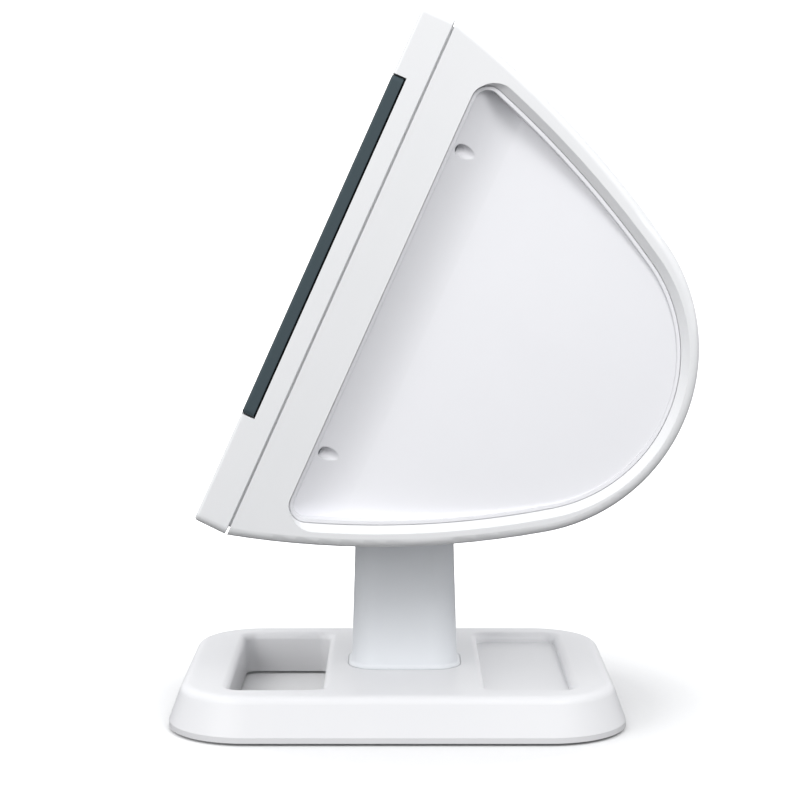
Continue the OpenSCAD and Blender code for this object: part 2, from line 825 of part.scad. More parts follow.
module rear_housing() {
    arcs = hood_arcs();
    flat = half_w - hood_wall;
    color(white) head() difference() {
        union() {
            difference() {
                union() {
                    turn(arcs[0]) hood_section();
                    turn(widened(arcs[1])) hood_section(lap);
                    turn(arcs[2]) hood_section();
                }
                block([hood_u - 20, -front_h, -head_w], [hood_u, front_h, head_w]);
            }
            for (s = [0, 1]) mirror([0, 0, s]) difference() {
                union() {
                    translate([0, 0, flat]) linear_extrude(hood_wall) hood_side(arcs);
                    translate([0, 0, rim_low]) linear_extrude(flat + hood_wall / 2 - rim_low) panel_rim(arcs);
                    frame_screw_tabs();
                }
                panel_cut();
                frame_screw_holes();
            }
            intersection() {
                for (u = [-1, 1], x = [-1, 1])
                    rod_v(u * boss_u, -front_drop, x * boss_x, boss_d, front_drop + foot_low);
                linear_extrude(head_w, center = true) region(arcs, -hood_wall / 2);
            }
        }
        column_slot();
        air_slots();
        for (u = [-1, 1], x = [-1, 1]) rod_v(u * boss_u, foot_low - 9, x * boss_x, screw_d, 10);
    }
}

// Thick rim of the hood round the side panel
module panel_rim(arcs) {
    intersection() {
        region(arcs, -hood_wall / 2);
        translate([tab_front, -front_h]) square([hood_depth, 2 * front_h]);
    }
}

// Flat side of the hood inside its edge fillets, a hair behind the seam
module hood_side(arcs) {
    intersection() {
        region(arcs, -edge_r - hood_flange / 2);
        translate([hood_u + lap, -front_h]) square([2 * hood_depth, 2 * front_h]);
    }
}

// Tabs behind the panel's front wall that take the frame screws
module frame_screw_tabs() {
    wide = frame_boss_d + 6;
    for (v = frame_screw_v)
        block(
            [tab_front, v - wide / 2, frame_screw_x - wide / 2],
            [tab_front + tab_t, v + wide / 2, half_w - hood_wall / 2]
        );
}

module frame_screw_holes() {
    for (v = frame_screw_v) rod_u(tab_front - 1, v, frame_screw_x, screw_hole_d, tab_t + panel_t + 2);
}

// Rear air slots, square to the round back
module air_slots() {
    for (k = [0 : vent_n - 1])
        translate(back_c) rotate((k - (vent_n - 1) / 2) * vent_step + vent_aim)
            block([back_r - 2 * hood_wall, -vent_w / 2, -vent_len / 2], [back_r + 1, vent_w / 2, vent_len / 2]);
}

// Dished panel: a tub whose floor is part of a large cylinder, scooped up to its front wall
module cheek() {
    arcs = panel_arcs();
    low = half_w - dish_front - panel_t - 1;
    difference() {
        intersection() {
            translate([0, 0, low]) linear_extrude(panel_lip - low) region(arcs, -seat_gap);
            difference() {
                block([panel_u - 1, -front_h, low - 1], [back_u, front_h, half_w]);
                dish(dish_r - panel_t);
            }
        }
        intersection() {
            translate([0, 0, low - 1]) linear_extrude(half_w) region(arcs, -seat_gap - panel_t);
            difference() {
                block([panel_u - 2, -front_h, low - 2], [back_u + 1, front_h, half_w + 1]);
                dish(dish_r);
                scoop(low);
            }
        }
        frame_screw_holes();
        for (v = frame_screw_v)
            rod_u(panel_wall_u - lap, v, frame_screw_x, screw_head_d + 4 * seat_gap, dish_front);
    }
}

// Large cylinder along the front that shapes the dished floor
module dish(r) {
    translate([dish_c[0], -front_h, dish_c[1]]) rotate([-90, 0, 0]) cylinder(r = r, h = 2 * front_h, $fn = dish_steps);
}

// Filling of the corner between the front wall and the floor, hollowed by the scooped curve
module scoop(low) {
    c = holding_centre(dish_c, -dish_r, scoop_r, [panel_wall_u, panel_lip - scoop_top], -1);
    foot = dish_c + dish_r * unit(c - dish_c);
    translate([0, front_h, 0]) rotate([90, 0, 0]) linear_extrude(2 * front_h) difference() {
        polygon([
            [panel_u - 3, low - 3], [foot[0], low - 3],
            foot + [0, 3], [panel_u - 3, panel_lip + 3]
        ]);
        translate(c - lap * unit(c - dish_c)) circle(scoop_r);
    }
}

module right_cheek() {
    color(white) head() cheek();
}

module left_cheek() {
    color(white) head() mirror([0, 0, 1]) cheek();
}

// Section of the front frame's edge, drawn outwards from its outline and back from its front
module frame_section() {
    r = frame_edge_r;
    d = frame_draft;
    c = [-(r + (frame_t - r) * sin(d)) / cos(d), r];
    polygon([[-edge_r, 0], [c[0], 0], polar(c, r, -d), [0, frame_t], [-edge_r, frame_t]]);
    corner_disc(c, r);
}

module front_frame() {
    inner = head_w - 2 * frame_wall;
    hole_deep = 12;
    color(white) head() difference() {
        union() {
            difference() {
                union() {
                    front_solid();
                    frame_tongue();
                }
                block([panel_back_u, front_low + frame_wall + 1, -inner / 2 + 1],
                    [seam_u + 20, pane_low - frame_wall, inner / 2 - 1]);
                block([panel_back_u, pane_top + frame_wall, -inner / 2 + 1],
                    [seam_u + 20, front_top - frame_wall - 1, inner / 2 - 1]);
                block([shelf_back, pane_low - frame_wall - 1, -inner / 2 + 1],
                    [seam_u + 20, pane_top + frame_wall + 1, inner / 2 - 1]);
                block([front_u - 1, pane_low, -head_w], [shelf_u, pane_top, head_w]);
                block([front_u - 1, pane_low + shelf_h, -window_w / 2],
                    [seam_u, pane_top - shelf_h, window_w / 2]);
            }
            for (v = frame_screw_v, s = [-1, 1])
                rod_u(shelf_back - 1, v, s * frame_screw_x, frame_boss_d, tab_front - shelf_back + 1);
            shield_screw_places() rod_u(shelf_back - 1, 0, 0, boss_d, lug_u - shelf_back + 1);
            board_posts();
        }
        for (v = frame_screw_v, s = [-1, 1])
            rod_u(tab_front - hole_deep, v, s * frame_screw_x, screw_d, hole_deep + 1);
        shield_screw_places() rod_u(shelf_back, 0, 0, screw_d, lug_u - shelf_back + 1);
        button_hole(-power_x, power_d);
        button_hole(minus_x, step_d);
        button_hole(minus_x + plus_pitch, step_d);
        display_cut();
    }
}

// Solid outer form of the front frame
module front_solid() {
    arcs = box_arcs(head_w, front_h, edge_r);
    translate([front_u, (front_top + front_low) / 2, 0]) rotate([0, 90, 0]) {
        sweep(arcs) frame_section();
        linear_extrude(frame_t) square([head_w - 2 * edge_r, front_h - 2 * edge_r], center = true);
    }
}

// Tongue of the front frame that reaches into the hood
module frame_tongue() {
    reach = 4;
    slope = reach * 0.4;
    wall = 2;
    w = head_w - 2 * tongue_inset;
    h = front_h - 2 * (tongue_inset + slope);
    corner = edge_r - hood_wall;
    translate([seam_u - 1, (front_top + front_low) / 2, 0]) rotate([0, 90, 0])
        linear_extrude(1 + reach) difference() {
            region(box_arcs(w, h, corner));
            square([w - 2 * wall, h - 2 * wall], center = true);
        }
}

module button_hole(x, d) {
    rod_u(front_u - 2, control_v, x, d + 2 * run_gap, frame_wall + 4);
}

module display_cut() {
    block([front_u - 1, control_v - display_h / 2, -display_w / 2],
        [front_u + frame_wall + 1, control_v + display_h / 2, display_w / 2]);
}

module frame_screws() {
    reach = 12;
    color(steel) head() for (v = frame_screw_v, s = [-1, 1]) {
        rod_u(panel_u + seat_gap + panel_t, v, s * frame_screw_x, screw_head_d, screw_head_t);
        rod_u(panel_u - reach, v, s * frame_screw_x, screw_d, reach + seat_gap + panel_t);
    }
}

module glass_pane() {
    r = pane_edge_r;
    color(dark_glass) head() translate([front_u, pane_mid, 0]) rotate([0, 90, 0]) {
        sweep(box_arcs(2 * front_half, pane_h - 2 * seat_gap, pane_corner)) {
            polygon([[-pane_corner, 0], [-r, 0], [0, r], [0, pane_t], [-pane_corner, pane_t]]);
            corner_disc([-r, r], r);
        }
        linear_extrude(pane_t)
            square([2 * (front_half - pane_corner), pane_h - 2 * (seat_gap + pane_corner)], center = true);
    }
}

module pane_seal() {
    margin = 2;
    color(black) head() translate([shelf_u - seal_t, pane_mid, 0]) rotate([0, 90, 0])
        linear_extrude(seal_t) difference() {
            square([2 * front_half - 6 * margin, pane_h - 2 * margin], center = true);
            square([window_w, window_h], center = true);
        }
}

// Screws that hold the shield, in lugs beyond its sides
module shield_screw_places() {
    for (v = [-1, 1], x = [-1, 1]) translate([0, pane_mid + v * lug_v, x * lug_x]) children();
}

module heat_shield() {
    w = shield_w / 2;
    h = shield_h / 2;
    slot_pitch = 9;
    slot_half = 2;
    slot_reach = 22;
    color(steel) head() difference() {
        union() {
            block([shelf_back, pane_mid - h, -w], [shield_back, pane_mid + h, w]);
            shield_screw_places()
                block([lug_u, -lug_side / 2, -lug_side / 2 - 2], [lug_u + sheet_t, lug_side / 2, lug_side / 2 + 2]);
        }
        block([shelf_back - 1, pane_mid - h + sheet_t, -w + sheet_t],
            [shield_back - sheet_t, pane_mid + h - sheet_t, w - sheet_t]);
        shield_screw_places() rod_u(lug_u - 1, 0, 0, screw_hole_d, sheet_t + 2);
        fan_hole_places() rod_u(shield_back - 2 * sheet_t, 0, 0, screw_hole_d, 3 * sheet_t);
        for (k = [-2 : 2])
            translate([shield_back, fan_v + k * slot_pitch, 0])
                block([-2 * sheet_t, -slot_half, -slot_reach], [sheet_t, slot_half, slot_reach]);
    }
}

module shield_screws() {
    color(steel) head() shield_screw_places() {
        rod_u(lug_u + sheet_t, 0, 0, screw_head_d, screw_head_t);
        rod_u(shelf_back + 1, 0, 0, screw_d, lug_u + sheet_t - shelf_back - 1);
    }
}

// Two polished troughs joined by a flat, with flanges that seat on the shelf
module reflector() {
    h = shield_h / 2 - sheet_t - seat_gap;
    color(steel) head() translate([0, pane_mid, 0]) linear_extrude(2 * tube_reach, center = true) {
        for (s = [-1, 1]) translate([trough_u, s * tube_pitch / 2]) difference() {
            pie(trough_r, -90, 90);
            pie(trough_r - sheet_t, -91, 91);
        }
        middle = tube_pitch / 2 - trough_r;
        translate([trough_u - eps, -middle - sheet_t]) square([sheet_t, 2 * (middle + sheet_t)]);
        for (s = [0, 1]) mirror([0, s]) {
            edge = tube_pitch / 2 + trough_r - sheet_t;
            translate([trough_u - sheet_t, edge]) square([sheet_t + eps, h - edge]);
            translate([shelf_back, h - sheet_t]) square([trough_u - shelf_back, sheet_t]);
        }
    }
}

module tube_places() {
    for (s = [-1, 1]) translate([tube_u, pane_mid + s * tube_pitch / 2, 0]) children();
}

module quartz_tubes() {
    color([0.8, 0.85, 0.88]) head() tube_places() difference() {
        cylinder(d = tube_d, h = 2 * tube_half, center = true);
        cylinder(d = tube_d - 2 * tube_wall, h = 2 * (tube_half - tube_end), center = true);
    }
}

module filaments() {
    color([0.45, 0.43, 0.42]) head() tube_places()
        cylinder(d = filament_d, h = 2 * (tube_half - tube_end), center = true);
}

module tube_holders() {
    wall = 4;
    side = tube_d + 2 * wall;
    bore = tube_d + 2 * seat_gap;
    color(ceramic) head() tube_places() for (s = [0, 1]) mirror([0, 0, s]) difference() {
        block([shelf_back - tube_u, -side / 2, tube_reach + seat_gap],
            [side / 2, side / 2, shield_w / 2 - sheet_t - seat_gap]);
        translate([0, 0, tube_reach - 1]) cylinder(d = bore, h = tube_half - tube_reach + 1);
    }
}

module thermal_cutout() {
    body_d = 16;
    body_t = 6;
    ear = [1.5, 6, 26];
    blade = [7, 4, 1];
    color(ceramic) head() translate([shield_back, service_v, -service_x]) {
        rod_u(0, 0, 0, body_d, body_t);
        translate([0, -ear[1] / 2, -ear[2] / 2]) cube(ear);
        for (s = [-1, 1])
            translate([body_t, -blade[1] / 2, s * body_d / 4 - blade[2] / 2]) cube(blade);
    }
}

module terminal_block() {
    pitch = 9;
    tall = 18;
    deep = 14;
    wire_d = 4;
    wire_u = 6;
    clamp_d = 3.4;
    color(ceramic) head() translate([shield_back, service_v, service_x]) difference() {
        block([0, -tall / 2, -1.5 * pitch], [deep, tall / 2, 1.5 * pitch]);
        for (k = [-1 : 1]) {
            translate([wire_u, 0, k * pitch]) rotate([90, 0, 0]) cylinder(d = wire_d, h = 2 * tall, center = true);
            for (s = [-1, 1]) rod_u(wire_u, s * tall / 4, k * pitch, clamp_d, deep);
        }
    }
}

module fan_hole_places() {
    for (v = [-1, 1], x = [-1, 1]) translate([0, fan_v + v * fan_hole, x * fan_hole]) children();
}

module fan_spacers() {
    wall = 2;
    color(steel) head() fan_hole_places() difference() {
        rod_u(shield_back, 0, 0, screw_d + 2 * wall, spacer_len);
        rod_u(shield_back - 1, 0, 0, screw_d, spacer_len + 2);
    }
}

// Square frame with round duct, motor seat and struts
module fan_frame() {
    strut = 2.2;
    corner = 4;
    web_u = fan_u + fan_t - fan_web;
    color(black) head() difference() {
        union() {
            difference() {
                translate([fan_u, fan_v, 0]) rotate([0, 90, 0])
                    linear_extrude(fan_t) region(box_arcs(fan_side, fan_side, corner));
                rod_u(fan_u - 1, fan_v, 0, fan_bore, fan_t + 2);
            }
            rod_u(web_u, fan_v, 0, hub_d, fan_web);
            rod_u(fan_u + rotor_set + hub_floor + run_gap, fan_v, 0, bearing_d,
                fan_t - rotor_set - hub_floor - run_gap - 1);
            for (a = [45 : 90 : 315])
                translate([web_u, fan_v, 0]) rotate([a, 0, 0])
                    block([0, hub_d / 2 - 1, -strut / 2], [fan_web, fan_bore / 2 + 1, strut / 2]);
        }
        fan_hole_places() rod_u(fan_u - 1, 0, 0, screw_hole_d, fan_t + 2);
        rod_u(fan_u, fan_v, 0, shaft_d + 2 * pin_fit, fan_t + 1);
    }
}

// Cup-shaped hub with pitched blades and its shaft
module fan_rotor() {
    depth = fan_t - fan_web - run_gap - rotor_set;
    tip = fan_bore / 2 - blade_gap;
    wall = 1.5;
    blade_t = 1.2;
    blade_pitch = 38;
    chord = 1.3 * depth;
    color([0.16, 0.16, 0.17]) head() translate([fan_u + rotor_set, fan_v, 0]) rotate([0, 90, 0]) {
        difference() {
            cylinder(d = hub_d, h = depth);
            translate([0, 0, hub_floor]) cylinder(d = hub_d - 2 * wall, h = depth);
        }
        cylinder(d = shaft_d, h = depth + fan_web);
        intersection() {
            for (k = [0 : blade_n - 1]) rotate(k * 360 / blade_n) translate([hub_d / 2 - 1, 0, depth / 2])
                rotate([blade_pitch, 0, 0]) translate([0, -chord / 2, -blade_t / 2]) cube([fan_side, chord, blade_t]);
            difference() {
                cylinder(r = tip, h = depth);
                translate([0, 0, -1]) cylinder(d = hub_d - wall, h = depth + 2);
            }
        }
    }
}

module board_posts() {
    set = post_d / 2 + 0.5;
    for (s = [-1, 1], t = [-1, 1])
        rod_u(panel_back_u - 1, control_v + t * (board_half_h - set), s * (board_half_w - set), post_d,
            board_u - panel_back_u + 1);
}

module control_board() {
    color([0.1, 0.35, 0.2]) head()
        block([board_u, control_v - board_half_h, -board_half_w],
            [board_u + board_t, control_v + board_half_h, board_half_w]);
}

module tact_switches() {
    color(black) head() for (x = [-power_x, minus_x, minus_x + plus_pitch])
        translate([board_u - switch_t, control_v - switch_side / 2, x - switch_side / 2])
            cube([switch_t, switch_side, switch_side]);
}

module display_module() {
    h = display_h / 2 + 1;
    w = display_w / 2 + 1;
    color(black) head() block([panel_back_u, control_v - h, -w], [board_u, control_v + h, w]);
}

module display_window() {
    h = display_h / 2 - seat_gap;
    w = display_w / 2 - seat_gap;
    color(dark_glass) head() block([front_u, control_v - h, -w], [panel_back_u, control_v + h, w]);
}

// Push button: domed-edge cap, retaining flange and plunger
module button(x, d) {
    cap_r = 0.8;
    flange_t = 1.2;
    flange_lap = 1.6;
    plunger_r = 2;
    flange_u = frame_wall + run_gap;
    plunger_end = board_u - front_u - switch_t - button_travel - run_gap;
    head() translate([front_u, control_v, x]) rotate([0, 90, 0]) rotate_extrude() {
        polygon([
            [0, -button_proud], [d / 2 - cap_r, -button_proud], [d / 2, cap_r - button_proud],
            [d / 2, flange_u], [0, flange_u]
        ]);
        corner_disc([d / 2 - cap_r, cap_r - button_proud], cap_r);
        translate([0, flange_u]) square([d / 2 + flange_lap, flange_t]);
        translate([0, flange_u]) square([plunger_r, plunger_end - flange_u]);
    }
}

module power_button() {
    color([0.85, 0.87, 0.88]) button(-power_x, power_d);
}

module minus_button() {
    color([0.85, 0.87, 0.88]) button(minus_x, step_d);
}

module plus_button() {
    color([0.85, 0.87, 0.88]) button(minus_x + plus_pitch, step_d);
}

base_shell();
base_plate();
ballast_plate();
rubber_feet();
base_screws();
cord_bush();
column();
column_screws();
friction_washers();
hinge_bracket();
hinge_pin();
hinge_nut();
bracket_screws();
rear_housing();
left_cheek();
right_cheek();
front_frame();
frame_screws();
glass_pane();
pane_seal();
heat_shield();
shield_screws();
reflector();
quartz_tubes();
filaments();
tube_holders();
thermal_cutout();
terminal_block();
fan_spacers();
fan_frame();
fan_rotor();
control_board();
tact_switches();
display_module();
display_window();
power_button();
minus_button();
plus_button();
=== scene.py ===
import math
import bmesh
import bpy
from mathutils import Matrix, Vector


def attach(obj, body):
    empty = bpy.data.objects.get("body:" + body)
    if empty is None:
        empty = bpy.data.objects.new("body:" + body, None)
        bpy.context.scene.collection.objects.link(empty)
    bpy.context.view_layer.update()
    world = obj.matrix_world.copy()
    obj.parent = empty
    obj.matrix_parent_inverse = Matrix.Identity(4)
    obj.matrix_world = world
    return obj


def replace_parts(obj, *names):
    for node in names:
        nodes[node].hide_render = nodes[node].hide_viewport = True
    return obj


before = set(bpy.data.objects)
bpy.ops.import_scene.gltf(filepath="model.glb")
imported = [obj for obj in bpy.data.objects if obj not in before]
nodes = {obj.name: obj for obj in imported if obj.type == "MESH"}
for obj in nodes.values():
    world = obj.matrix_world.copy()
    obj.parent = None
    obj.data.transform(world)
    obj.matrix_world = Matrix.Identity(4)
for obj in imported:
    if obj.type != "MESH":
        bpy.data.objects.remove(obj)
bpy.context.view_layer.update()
print("frame loaded:", len(nodes), "nodes")

mm = 0.001
lean = math.radians(24.3)                      # lean of the head at rest
pin = Vector((0, -11.9395, 140)) * mm          # hinge pin's middle
footMiddle = -15.9395                          # middle of the foot along y, in mm
backDir = Vector((0, math.cos(lean), -math.sin(lean)))   # into the head, square to the glass
upDir = Vector((0, math.sin(lean), math.cos(lean)))      # up along the glass
acrossDir = Vector((1, 0, 0))


# place in the head: u back, v up along the glass, x across, in mm
def headPoint(u, v, x):
    return pin + (backDir * u + upDir * v + acrossDir * x) * mm


# sRGB hex to linear colour
def linear(hexText):
    parts = [int(hexText[i:i + 2], 16) / 255 for i in (1, 3, 5)]
    return tuple(c / 12.92 if c <= 0.04045 else ((c + 0.055) / 1.055) ** 2.4 for c in parts) + (1.0,)


# adds one node: settings fill its properties or sockets, links join its sockets to others' outputs
def addNode(tree, kind, settings=None, links=None):
    node = tree.nodes.new("ShaderNode" + kind)
    for name, value in (settings or {}).items():
        if hasattr(node, name):
            setattr(node, name, value)
        else:
            node.inputs[name].default_value = value
    for name, source in (links or {}).items():
        tree.links.new(source, node.inputs[name])
    return node


def newMaterial(name, shaderValues):
    material = bpy.data.materials.new(name)
    material.use_nodes = True
    shader = material.node_tree.nodes["Principled BSDF"]
    for socket, value in shaderValues.items():
        shader.inputs[socket].default_value = value
    return material, material.node_tree, shader


# moulded ABS with a fine spark-eroded skin: a soft broad sheen, faint clouding, edges that catch light
def mouldedAbs(name, light, dark, rough, cloudMm=55, grainMm=0.7, grainDepthMm=0.012, edgeMm=0.5):
    material, tree, shader = newMaterial(name, {"IOR": 1.53, "Specular IOR Level": 0.5})
    where = addNode(tree, "TexCoord")
    cloud = addNode(tree, "TexNoise", {"Scale": 1 / (cloudMm * mm), "Detail": 3.0, "Roughness": 0.55},
                    {"Vector": where.outputs["Object"]})
    tint = addNode(tree, "MixRGB", {"Color1": linear(light), "Color2": linear(dark)},
                   {"Fac": cloud.outputs["Fac"]})
    tree.links.new(tint.outputs["Color"], shader.inputs["Base Color"])
    # real grain is about 0.2 mm, drawn coarser so that it shows
    grain = addNode(tree, "TexNoise", {"Scale": 1 / (grainMm * mm), "Detail": 2.0, "Roughness": 0.6},
                    {"Vector": where.outputs["Object"]})
    sheen = addNode(tree, "MapRange", {"To Min": rough - 0.05, "To Max": rough + 0.06},
                    {"Value": grain.outputs["Fac"]})
    tree.links.new(sheen.outputs["Result"], shader.inputs["Roughness"])
    skin = addNode(tree, "Bump", {"Strength": 0.35, "Distance": grainDepthMm * mm},
                   {"Height": grain.outputs["Fac"]})
    if edgeMm:
        edge = addNode(tree, "Bevel", {"samples": 4, "Radius": edgeMm * mm})
        tree.links.new(edge.outputs["Normal"], skin.inputs["Normal"])
    tree.links.new(skin.outputs["Normal"], shader.inputs["Normal"])
    return material


# plated or polished metal, rolled or turned: cool grey with fine streaks and cloudy brightness
def workedMetal(name, colour, rough, streakMm=(0.4, 12, 12), cloudMm=9, cloudColour="#8b8f94"):
    material, tree, shader = newMaterial(name, {"Metallic": 1.0})
    where = addNode(tree, "TexCoord")
    stretch = addNode(tree, "Mapping", {"Scale": tuple(1 / (s * mm) for s in streakMm)},
                      {"Vector": where.outputs["Object"]})
    streak = addNode(tree, "TexNoise", {"Scale": 1.0, "Detail": 4.0}, {"Vector": stretch.outputs["Vector"]})
    cloud = addNode(tree, "TexNoise", {"Scale": 1 / (cloudMm * mm), "Detail": 2.0},
                    {"Vector": where.outputs["Object"]})
    tint = addNode(tree, "MixRGB", {"Color1": linear(colour), "Color2": linear(cloudColour)},
                   {"Fac": cloud.outputs["Fac"]})
    tree.links.new(tint.outputs["Color"], shader.inputs["Base Color"])
    sheen = addNode(tree, "MapRange", {"To Min": rough - 0.08, "To Max": rough + 0.12},
                    {"Value": streak.outputs["Fac"]})
    tree.links.new(sheen.outputs["Result"], shader.inputs["Roughness"])
    return material


# moulded rubber, wound carbon or dry ink: nearly black, dull, with a dusty bloom and a fine pebbled skin
def dullBlack(name, dark, bloom, dustMm=4, pebbleMm=0.8, pebbleDepthMm=0.03):
    material, tree, shader = newMaterial(name, {"IOR": 1.52, "Specular IOR Level": 0.3, "Roughness": 0.72})
    where = addNode(tree, "TexCoord")
    dust = addNode(tree, "TexNoise", {"Scale": 1 / (dustMm * mm), "Detail": 4.0},
                   {"Vector": where.outputs["Object"]})
    tint = addNode(tree, "MixRGB", {"Color1": linear(dark), "Color2": linear(bloom)},
                   {"Fac": dust.outputs["Fac"]})
    tree.links.new(tint.outputs["Color"], shader.inputs["Base Color"])
    pebble = addNode(tree, "TexVoronoi", {"Scale": 1 / (pebbleMm * mm)}, {"Vector": where.outputs["Object"]})
    skin = addNode(tree, "Bump", {"Strength": 0.3, "Distance": pebbleDepthMm * mm},
                   {"Height": pebble.outputs["Distance"]})
    tree.links.new(skin.outputs["Normal"], shader.inputs["Normal"])
    return material


# tinted glass, rolled and then ground at its edges: a deep polished face, dull slate edges
def tintedGlass(name, deep, thin, edgeColour, rough, edgeRough, depthMm=70, smearMm=18, edgeMm=0.6):
    material, tree, shader = newMaterial(name, {"IOR": 1.53, "Specular IOR Level": 0.5})
    where = addNode(tree, "TexCoord")
    depth = addNode(tree, "TexNoise", {"Scale": 1 / (depthMm * mm), "Detail": 2.0},
                    {"Vector": where.outputs["Object"]})
    body = addNode(tree, "MixRGB", {"Color1": linear(deep), "Color2": linear(thin)},
                   {"Fac": depth.outputs["Fac"]})
    smear = addNode(tree, "TexNoise", {"Scale": 1 / (smearMm * mm), "Detail": 3.0},
                    {"Vector": where.outputs["Object"]})
    face = addNode(tree, "MapRange", {"To Min": rough, "To Max": rough + 0.06},
                   {"Value": smear.outputs["Fac"]})
    # the two side edges are ground, the face between them is polished
    way = addNode(tree, "SeparateXYZ", None, {"Vector": addNode(tree, "NewGeometry").outputs["Normal"]})
    side = addNode(tree, "Math", {"operation": "ABSOLUTE"}, {"Value": way.outputs["X"]})
    ground = addNode(tree, "MapRange", {"From Min": 0.4, "From Max": 0.8}, {"Value": side.outputs["Value"]})
    tint = addNode(tree, "MixRGB", {"Color2": linear(edgeColour)},
                   {"Fac": ground.outputs["Result"], "Color1": body.outputs["Color"]})
    tree.links.new(tint.outputs["Color"], shader.inputs["Base Color"])
    sheen = addNode(tree, "MapRange", {"To Max": edgeRough},
                    {"Value": ground.outputs["Result"], "To Min": face.outputs["Result"]})
    tree.links.new(sheen.outputs["Result"], shader.inputs["Roughness"])
    edge = addNode(tree, "Bevel", {"samples": 4, "Radius": edgeMm * mm})
    ripple = addNode(tree, "Bump", {"Strength": 0.05, "Distance": 0.05 * mm},
                     {"Height": depth.outputs["Fac"], "Normal": edge.outputs["Normal"]})
    tree.links.new(ripple.outputs["Normal"], shader.inputs["Normal"])
    return material


# pressed steatite ceramic: chalky cream with specks and a dry surface
def pressedCeramic(name, pale, speck, speckMm=1.4, speckDepthMm=0.05):
    material, tree, shader = newMaterial(name, {"IOR": 1.6, "Roughness": 0.78})
    where = addNode(tree, "TexCoord")
    dots = addNode(tree, "TexVoronoi", {"Scale": 1 / (speckMm * mm)}, {"Vector": where.outputs["Object"]})
    few = addNode(tree, "MapRange", {"From Min": 0.12, "From Max": 0.3, "To Min": 0.7, "To Max": 0.0},
                  {"Value": dots.outputs["Distance"]})
    tint = addNode(tree, "MixRGB", {"Color1": linear(pale), "Color2": linear(speck)},
                   {"Fac": few.outputs["Result"]})
    tree.links.new(tint.outputs["Color"], shader.inputs["Base Color"])
    skin = addNode(tree, "Bump", {"Strength": 0.4, "Distance": speckDepthMm * mm},
                   {"Height": dots.outputs["Distance"]})
    tree.links.new(skin.outputs["Normal"], shader.inputs["Normal"])
    return material


# fused quartz, drawn: clear with long draw lines
def drawnQuartz(name, clear, lineMm=(40, 1.2, 1.2)):
    material, tree, shader = newMaterial(name, {"IOR": 1.46, "Transmission Weight": 0.85,
                                                "Base Color": linear(clear)})
    where = addNode(tree, "TexCoord")
    stretch = addNode(tree, "Mapping", {"Scale": tuple(1 / (s * mm) for s in lineMm)},
                      {"Vector": where.outputs["Object"]})
    lines = addNode(tree, "TexNoise", {"Scale": 1.0, "Detail": 3.0}, {"Vector": stretch.outputs["Vector"]})
    sheen = addNode(tree, "MapRange", {"To Min": 0.03, "To Max": 0.18}, {"Value": lines.outputs["Fac"]})
    tree.links.new(sheen.outputs["Result"], shader.inputs["Roughness"])
    return material


# glass-fibre board under green solder resist: woven shadow, satin varnish
def resistBoard(name, deep, pale, weaveMm=1.1, weaveDepthMm=0.03):
    material, tree, shader = newMaterial(name, {"IOR": 1.55, "Roughness": 0.35})
    where = addNode(tree, "TexCoord")
    weave = addNode(tree, "TexChecker",
                    {"Scale": 1 / (weaveMm * mm), "Color1": linear(deep), "Color2": linear(pale)},
                    {"Vector": where.outputs["Object"]})
    tree.links.new(weave.outputs["Color"], shader.inputs["Base Color"])
    skin = addNode(tree, "Bump", {"Strength": 0.2, "Distance": weaveDepthMm * mm},
                   {"Height": weave.outputs["Fac"]})
    tree.links.new(skin.outputs["Normal"], shader.inputs["Normal"])
    return material


hoodAbs = mouldedAbs("white ABS, spark-eroded hood", "#ebebec", "#e7e8e9", 0.40)
frameAbs = mouldedAbs("white ABS, satin front frame", "#ececed", "#e8e9ea", 0.36)
cheekAbs = mouldedAbs("white ABS, fine-matt side panel", "#ededf0", "#e9e9ec", 0.46, edgeMm=0.8)
footAbs = mouldedAbs("white ABS, satin foot", "#e9e9ea", "#e5e5e7", 0.38, edgeMm=0)   # its edges are modelled
# the column is the same white plastic as the other mouldings; its darker, bluer white is painted shade from
# the head above it
shadedColumnAbs = mouldedAbs("white ABS, satin column, darkened by painted shade", "#e3e5e8", "#dee1e4", 0.38)
buttonAbs = mouldedAbs("light grey ABS, satin buttons", "#c3c8cc", "#babfc4", 0.42, grainMm=0.5)
blackAbs = mouldedAbs("black ABS, matt inner mouldings", "#1b1c1e", "#232527", 0.55)
plateAbs = mouldedAbs("white ABS, matt underside plate", "#e0e3e6", "#d9dde0", 0.5)
zincSteel = workedMetal("zinc-plated steel, rolled sheet", "#b9bdc1", 0.34)
screwSteel = workedMetal("zinc-plated steel, turned screws", "#c3c6c9", 0.28, (0.5, 0.5, 6))
blackSteel = workedMetal("black-oxide steel, turned screws", "#2a2c2e", 0.42, (0.5, 0.5, 6))
brightAluminium = workedMetal("bright aluminium, polished reflector", "#dfe2e4", 0.14, (20, 0.6, 0.6))
filamentCarbon = dullBlack("carbon filament, wound", "#141415", "#2a2a2c")
padRubber = dullBlack("black rubber, moulded pads", "#1a1b1c", "#2b2c2d")
markInk = dullBlack("dark grey ink, pad-printed", "#1d1f21", "#26292b")
sealRubber = dullBlack("black silicone rubber, cut seal", "#161717", "#222324")
paneGlass = tintedGlass("tinted glass-ceramic, polished", "#080c0e", "#0c1214", "#3b494f", 0.05, 0.8)
windowAcrylic = tintedGlass("smoked acrylic, polished", "#0b0d0e", "#101314", "#16191b", 0.05, 0.3)
holderCeramic = pressedCeramic("steatite ceramic, pressed", "#e2dac8", "#b9ad95")
quartz = drawnQuartz("fused quartz, drawn tube", "#e8eff2")
boardResist = resistBoard("glass-fibre board, green resist", "#1d5a34", "#22663c")

